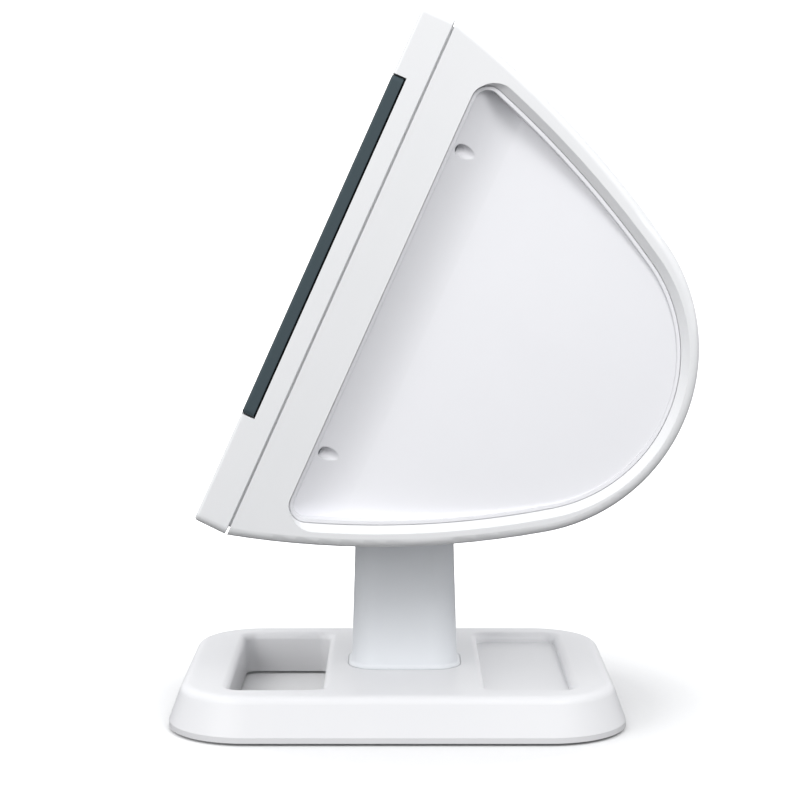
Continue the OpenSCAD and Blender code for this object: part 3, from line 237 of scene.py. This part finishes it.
finishes = {
    "base_plate": plateAbs, "ballast_plate": zincSteel, "cord_bush": padRubber,
    "column": shadedColumnAbs, "column_screws": screwSteel, "friction_washers": padRubber,
    "hinge_bracket": zincSteel, "hinge_pin": screwSteel, "hinge_nut": screwSteel,
    "bracket_screws": screwSteel,
    "rear_housing": hoodAbs, "left_cheek": cheekAbs, "right_cheek": cheekAbs,
    "front_frame": frameAbs, "glass_pane": paneGlass, "pane_seal": sealRubber,
    "heat_shield": zincSteel, "shield_screws": screwSteel, "reflector": brightAluminium,
    "quartz_tubes": quartz, "tube_holders": holderCeramic,
    "thermal_cutout": holderCeramic, "terminal_block": holderCeramic,
    "fan_spacers": screwSteel, "fan_frame": blackAbs, "fan_rotor": blackAbs,
    "control_board": boardResist, "tact_switches": blackAbs,
    "display_module": blackAbs, "display_window": windowAcrylic,
    "power_button": buttonAbs, "minus_button": buttonAbs, "plus_button": buttonAbs,
}
for nodeName, material in finishes.items():
    mesh = nodes[nodeName].data
    mesh.materials.clear()
    mesh.materials.append(material)
print("finishes set:", len(finishes))


# places a mesh made along +z so that it points another way
def turned(place, way):
    return Matrix.Translation(place) @ Vector((0, 0, 1)).rotation_difference(way).to_matrix().to_4x4()


# makes an object of a bmesh, with its finish, on a body of the frame
def addPiece(name, work, material, body, smooth=True):
    bmesh.ops.recalc_face_normals(work, faces=work.faces[:])
    mesh = bpy.data.meshes.new(name)
    work.to_mesh(mesh)
    work.free()
    for face in mesh.polygons:
        face.use_smooth = smooth
    mesh.materials.append(material)
    piece = bpy.data.objects.new(name, mesh)
    bpy.context.scene.collection.objects.link(piece)
    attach(piece, body)
    return piece


# turned form: (radius, height) points in mm round +z; dent lowers points of the face by place
def turnedForm(work, at, profile, sides, dent=None):
    rings = []
    for radius, height in profile:
        ring = []
        for k in range(sides if radius > 0 else 1):
            angle = 2 * math.pi * k / sides
            spot = Vector((radius * math.cos(angle), radius * math.sin(angle), height))
            if dent:
                spot.z -= dent(spot)
            ring.append(work.verts.new(at @ (spot * mm)))
        rings.append(ring)
    for low, high in zip(rings, rings[1:]):
        for k in range(sides):
            n = (k + 1) % sides
            corners = [low[k % len(low)], low[n % len(low)], high[n % len(high)], high[k % len(high)]]
            corners = list(dict.fromkeys(corners))
            if len(corners) > 2:
                work.faces.new(corners)


# pan-head screws with a pressed cross recess, over the plain ones of the frame
screwKinds = {
    "frameScrews": {
        "node": "frame_screws", "body": "head", "material": blackSteel, "way": backDir,
        "headDia": 6.0, "headTall": 2.1, "shankDia": 3.0, "shankLong": 14.2,
        "places": [headPoint(-48.8, v, x) for v in (169, -3.6) for x in (-85, 85)]},
    "footScrews": {
        "node": "base_screws", "body": "stand", "material": screwSteel, "way": Vector((0, 0, -1)),
        "headDia": 6.0, "headTall": 1.05, "shankDia": 3.0, "shankLong": 8.0,
        "places": [Vector((x, footMiddle + y, 2.75)) * mm for x in (-73, 73) for y in (-103, 103)]},
}
# the head's form in shares of its half width and its height, the thread in mm
screwHead = {"domeRings": 14, "domeFall": 0.28, "rim": [(0.97, 0.55), (1, 0.3), (1, 0)], "sides": 48,
             "armReach": 0.62, "armHalf": 0.2, "endSlope": 0.25, "wallSlope": 0.07,
             "deep": 0.6, "lowest": 0.3}
thread = {"pitch": 0.5, "deep": 0.25}


# how far the cross recess lowers a point of the head
def crossRecess(spot, half, tall):
    reach = max(abs(spot.x), abs(spot.y))
    thin = min(abs(spot.x), abs(spot.y))
    armReach, armHalf = screwHead["armReach"] * half, screwHead["armHalf"] * half
    if spot.z < screwHead["lowest"] * tall or reach > armReach or thin > armHalf:
        return 0.0
    endFade = min(1.0, (armReach - reach) / (screwHead["endSlope"] * half))
    wallFade = min(1.0, (armHalf - thin) / (screwHead["wallSlope"] * half))
    return screwHead["deep"] * tall * endFade * wallFade


# (radius, height) points from the middle of the head to the tip; shank is the thread's outer radius
def screwProfile(half, tall, shank, long):
    count = screwHead["domeRings"]
    profile = [(half * r / count, tall * (1 - screwHead["domeFall"] * (r / count) ** 2))
               for r in range(count - 1)]
    profile += [(half * out, tall * up) for out, up in screwHead["rim"]] + [(shank, 0.0)]
    for k in range(int(long / thread["pitch"])):   # thread drawn as rings at its real pitch
        top = -thread["pitch"] * k
        profile += [(shank - thread["deep"], top - thread["pitch"] / 2), (shank, top - thread["pitch"])]
    return profile + [(0.0, -long)]


for screwName, kind in screwKinds.items():
    half, tall = kind["headDia"] / 2, kind["headTall"]
    profile = screwProfile(half, tall, kind["shankDia"] / 2, kind["shankLong"])
    screws = bmesh.new()
    for place in kind["places"]:
        turnedForm(screws, turned(place, kind["way"]), profile, screwHead["sides"],
                   lambda spot: crossRecess(spot, half, tall))
    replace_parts(addPiece(screwName, screws, kind["material"], kind["body"]), kind["node"])
print("screws made:", ", ".join(screwKinds))

# rubber pads with two grip grooves in the face
pads = {"node": "rubber_feet", "x": 55, "y": 107, "sides": 64,
        "profile": [(0, 0), (2.2, 0), (2.5, 0.4), (3.1, 0.4), (3.4, 0),
                    (5.2, 0), (5.5, 0.4), (6.1, 0.4), (6.4, 0),
                    (8.2, 0), (8.6, 0.15), (8.85, 0.5), (9.0, 0.9), (9.0, 1.5), (0, 1.5)]}
padWork = bmesh.new()
for x in (-pads["x"], pads["x"]):
    for y in (-pads["y"], pads["y"]):
        padPlace = Matrix.Translation(Vector((x, footMiddle + y, 0)) * mm)
        turnedForm(padWork, padPlace, pads["profile"], pads["sides"])
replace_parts(addPiece("footPads", padWork, padRubber, "stand"), pads["node"])

# carbon filaments wound as coils inside the tubes
coil = {"node": "filaments", "u": -68.5, "v": (52.4, 136.4), "half": 61, "radius": 1.15, "wire": 0.3,
        "pitch": 2.4, "stepsPerTurn": 14, "wireSides": 5}
coilWork = bmesh.new()
wireAngles = [2 * math.pi * k / coil["wireSides"] for k in range(coil["wireSides"])]
coilSteps = int(2 * coil["half"] / coil["pitch"] * coil["stepsPerTurn"])
coilEnd = coil["half"] - coil["wire"]
for v in coil["v"]:
    rings = []
    for k in range(coilSteps + 1):
        along = k / coil["stepsPerTurn"] * coil["pitch"] - coilEnd
        angle = 2 * math.pi * k / coil["stepsPerTurn"]
        out = backDir * math.cos(angle) + upDir * math.sin(angle)
        middle = headPoint(coil["u"], v, min(along, coilEnd)) + out * coil["radius"] * mm
        wireRing = [(out * math.cos(t) + acrossDir * math.sin(t)) * coil["wire"] * mm for t in wireAngles]
        rings.append([coilWork.verts.new(middle + offset) for offset in wireRing])
    for one, two in zip(rings, rings[1:]):
        for k in range(coil["wireSides"]):
            n = (k + 1) % coil["wireSides"]
            coilWork.faces.new((one[k], one[n], two[n], two[k]))
    coilWork.faces.new(rings[0])
    coilWork.faces.new(rings[-1])
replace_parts(addPiece("filamentCoils", coilWork, filamentCarbon, "head"), coil["node"])
print("pads and coils made")

# the foot's shell, as in the frame but without the paper-thin web in the corners of its opening and tray
shell = {"node": "base_shell", "rimLow": 21.0, "corner": 7.0, "halfLong": 70,
         "holes": [{"y": -66, "wide": 51}, {"y": 71, "wide": 47}],
         "heightSlack": 0.01, "webReach": 0.025, "weld": 0.035, "flatArea": 1e-7}   # mm, the area in mm2
cadShell = nodes[shell["node"]].data
shellWork = bmesh.new()
shellWork.from_mesh(cadShell)
shellWork.faces.ensure_lookup_table()
keptNormal = shellWork.loops.layers.float_vector.new("keptNormal")
for polygon in cadShell.polygons:
    for loop, index in zip(shellWork.faces[polygon.index].loops, polygon.loop_indices):
        loop[keptNormal] = cadShell.corner_normals[index].vector
cornerMiddles = [(sideX * (shell["halfLong"] - shell["corner"]),
                  footMiddle + hole["y"] + sideY * (hole["wide"] / 2 - shell["corner"]))
                 for hole in shell["holes"] for sideX in (-1, 1) for sideY in (-1, 1)]
webVerts = []
for vert in shellWork.verts:
    x, y, z = vert.co / mm
    away = min(abs(math.hypot(x - cx, y - cy) - shell["corner"]) for cx, cy in cornerMiddles)
    if z > shell["rimLow"] - shell["heightSlack"] and away < shell["webReach"]:
        vert.co.z = shell["rimLow"] * mm
        webVerts.append(vert)
bmesh.ops.remove_doubles(shellWork, verts=webVerts, dist=shell["weld"] * mm)
flatFaces = [face for face in shellWork.faces if face.calc_area() < shell["flatArea"] * mm * mm]
bmesh.ops.delete(shellWork, geom=flatFaces, context="FACES")
footShell = addPiece("footShell", shellWork, footAbs, "stand")
shellNormals = footShell.data.attributes["keptNormal"].data
footShell.data.normals_split_custom_set([tuple(item.vector) for item in shellNormals])
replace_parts(footShell, shell["node"])
print("foot shell trimmed:", len(webVerts), "points lowered,", len(flatFaces), "flat faces off")

# pad-printed marks on the three buttons, a hair proud of their caps
marks = {"ink": 0.08, "u": -93.2, "v": -32.6, "bar": 0.75, "long": 4.6, "ring": 2.7, "ringSteps": 36,
         "gapDegrees": 80, "stemRise": 0.75, "powerX": -46, "minusX": 40, "plusX": 59}


# raises outlines of (across, up) points round the button's middle
def addMark(name, body, x, outlines):
    work = bmesh.new()
    for outline in outlines:
        faces = []
        for lift in (0.0, marks["ink"]):
            verts = [work.verts.new(headPoint(marks["u"] - lift, marks["v"] + up, x + across))
                     for across, up in outline]
            faces.append(work.faces.new(verts))
        low, high = faces
        count = len(outline)
        for k in range(count):
            n = (k + 1) % count
            work.faces.new((low.verts[k], low.verts[n], high.verts[n], high.verts[k]))
    addPiece(name, work, markInk, body, smooth=False)


def bar(long, wide, middle=(0, 0)):
    corners = ((-1, -1), (1, -1), (1, 1), (-1, 1))
    return [(middle[0] + a * long / 2, middle[1] + b * wide / 2) for a, b in corners]


# ring with a gap at its top
def openRing(radius, wide, gapDegrees):
    steps = marks["ringSteps"]
    angles = [math.radians(90 + gapDegrees / 2 + k * (360 - gapDegrees) / steps) for k in range(steps + 1)]
    outer = [(math.cos(a) * (radius + wide / 2), math.sin(a) * (radius + wide / 2)) for a in angles]
    inner = [(math.cos(a) * (radius - wide / 2), math.sin(a) * (radius - wide / 2)) for a in reversed(angles)]
    return outer + inner


armLong = (marks["long"] - marks["bar"]) / 2   # the plus has one long bar and two short arms
armRise = (marks["long"] + marks["bar"]) / 4
addMark("powerMark", "power", marks["powerX"],
        [openRing(marks["ring"], marks["bar"], marks["gapDegrees"]),
         bar(marks["bar"], marks["ring"], (0, marks["ring"] * marks["stemRise"]))])
addMark("minusMark", "minus", marks["minusX"], [bar(marks["long"], marks["bar"])])
addMark("plusMark", "plus", marks["plusX"],
        [bar(marks["long"], marks["bar"]),
         bar(marks["bar"], armLong, (0, armRise)), bar(marks["bar"], armLong, (0, -armRise))])
print("button marks made")


# studio: a round white cove in metres; its paper glows evenly far off to stay white, and the glow fades to
# none near the foot, painted shade on the table round and under it
cove = {"inner": 0.5, "floorReach": 3.0, "bend": 1.0, "bendSteps": 12, "wallTop": 3.5, "sides": 96,
        "paper": "#f4f4f4", "fibre": "#f1f1f1", "fibreMm": 10 / 3,
        "paintedShadeReach": 0.13, "paintedShadeFadeTo": 0.4, "paintedShadeGlow": 0.0, "backdropGlow": 0.9}


def paperCove(name):
    material, tree, shader = newMaterial(name, {"Roughness": 0.9, "Specular IOR Level": 0.1,
                                                "Emission Color": linear("#ffffff")})
    where = addNode(tree, "TexCoord")
    # real fibre is finer than a millimetre, drawn coarser so that it shows
    fibre = addNode(tree, "TexNoise", {"Scale": 1 / (cove["fibreMm"] * mm), "Detail": 2.0},
                    {"Vector": where.outputs["Object"]})
    tint = addNode(tree, "MixRGB", {"Color1": linear(cove["paper"]), "Color2": linear(cove["fibre"])},
                   {"Fac": fibre.outputs["Fac"]})
    tree.links.new(tint.outputs["Color"], shader.inputs["Base Color"])
    # painted shade: the glow rises with distance from the middle, so the paper round and under the foot is
    # left unlit like a shadow
    away = addNode(tree, "VectorMath", {"operation": "LENGTH"}, {"Vector": where.outputs["Object"]})
    glow = addNode(tree, "MapRange", {"From Min": cove["paintedShadeReach"], "From Max": cove["paintedShadeFadeTo"],
                                      "To Min": cove["paintedShadeGlow"], "To Max": cove["backdropGlow"]},
                   {"Value": away.outputs["Value"]})
    tree.links.new(glow.outputs["Result"], shader.inputs["Emission Strength"])
    return material


def buildCove():
    profile = [(0.0, 0.0), (cove["inner"], 0.0), (cove["floorReach"], 0.0)]
    for step in range(1, cove["bendSteps"] + 1):
        turn = math.pi / 2 * step / cove["bendSteps"]
        reach = cove["floorReach"] + cove["bend"] * math.sin(turn)
        profile.append((reach, cove["bend"] * (1 - math.cos(turn))))
    profile.append((cove["floorReach"] + cove["bend"], cove["wallTop"]))
    work = bmesh.new()
    turnedForm(work, Matrix.Scale(1 / mm, 4), profile, cove["sides"])   # the profile is in metres
    mesh = bpy.data.meshes.new("studioCove")
    work.to_mesh(mesh)
    work.free()
    for face in mesh.polygons:
        face.use_smooth = True
    mesh.materials.append(paperCove("white paper cove, glowing, with painted shade near the foot"))
    studioCove = bpy.data.objects.new("studioCove", mesh)
    bpy.context.scene.collection.objects.link(studioCove)
    studioCove.visible_diffuse = False         # the paper throws no glow back up under the head
    studioCove.visible_glossy = False
    studioCove.visible_shadow = False


buildCove()

# a bank of lamps far off, so its light falls evenly, and softboxes; the strip's streak lies on the glass
bank = {"name": "sideBank", "place": (0.80, -0.60, 0.45), "target": (0, 0, 0), "strength": 0.62, "spread": 45}
softboxes = {
    "rearSoftbox": {"place": (0.70, 0.40, 0.70), "target": (0, 0, 0.3),
                    "size": (0.4, 0.4), "watts": 2.4},
    "frontSoftbox": {"place": (0.50, -0.60, 0.70), "target": (0, 0, 0.3),
                     "size": (0.4, 0.4), "watts": 1.0},
    "stripSoftbox": {"place": (-0.62, -1.05, 0.95), "target": (0, -0.05, 0.25),
                     "size": (0.22, 1.0), "watts": 1.0},
}


def hangLamp(light, place, target):
    lamp = bpy.data.objects.new(light.name, light)
    lamp.location = place
    lamp.rotation_euler = (Vector(target) - Vector(place)).to_track_quat("-Z", "Y").to_euler()
    bpy.context.scene.collection.objects.link(lamp)


bankLight = bpy.data.lights.new(bank["name"], "SUN")
bankLight.energy = bank["strength"]
bankLight.angle = math.radians(bank["spread"])
hangLamp(bankLight, bank["place"], bank["target"])
for boxName, box in softboxes.items():
    boxLight = bpy.data.lights.new(boxName, "AREA")
    boxLight.shape = "RECTANGLE"
    boxLight.size, boxLight.size_y = box["size"]
    boxLight.energy = box["watts"]
    hangLamp(boxLight, box["place"], box["target"])

# the room is a white tent, brightest at its sides and dim below the table
room = {"colour": "#f6f7f9", "sides": 1.25, "top": 0.95, "below": 0.12, "fadeFrom": -0.05, "fadeTo": 0.05}
world = bpy.data.worlds.new("studioRoom")
bpy.context.scene.world = world
world.use_nodes = True
roomTree = world.node_tree
roomShade = roomTree.nodes["Background"]
roomWay = addNode(roomTree, "TexCoord")
roomHeight = addNode(roomTree, "SeparateXYZ", None, {"Vector": roomWay.outputs["Generated"]})
tent = addNode(roomTree, "MapRange",
               {"From Min": 0.0, "From Max": 1.0, "To Min": room["sides"], "To Max": room["top"]},
               {"Value": roomHeight.outputs["Z"]})
fade = addNode(roomTree, "MapRange",
               {"From Min": room["fadeFrom"], "From Max": room["fadeTo"], "To Min": room["below"]},
               {"Value": roomHeight.outputs["Z"], "To Max": tent.outputs["Result"]})
roomShade.inputs["Color"].default_value = linear(room["colour"])
roomTree.links.new(fade.outputs["Result"], roomShade.inputs["Strength"])
bpy.context.scene.view_settings.view_transform = "Standard"   # plain white paper shows as white
print("studio set:", len(softboxes) + 1, "lamps")

# camera where the photograph's was: square to the lamp's side, a little above its middle
shot = {"place": (1.147, -0.01449, 0.2904), "pitchDown": 5.79, "turn": 90, "lens": 91.8, "sensor": 36}
cameraData = bpy.data.cameras.new("sideCamera")
cameraData.sensor_width = shot["sensor"]
cameraData.lens = shot["lens"]
camera = bpy.data.objects.new("sideCamera", cameraData)
camera.location = shot["place"]
camera.rotation_euler = (math.radians(90 - shot["pitchDown"]), 0, math.radians(shot["turn"]))
bpy.context.scene.collection.objects.link(camera)
bpy.context.scene.camera = camera
print("camera set")
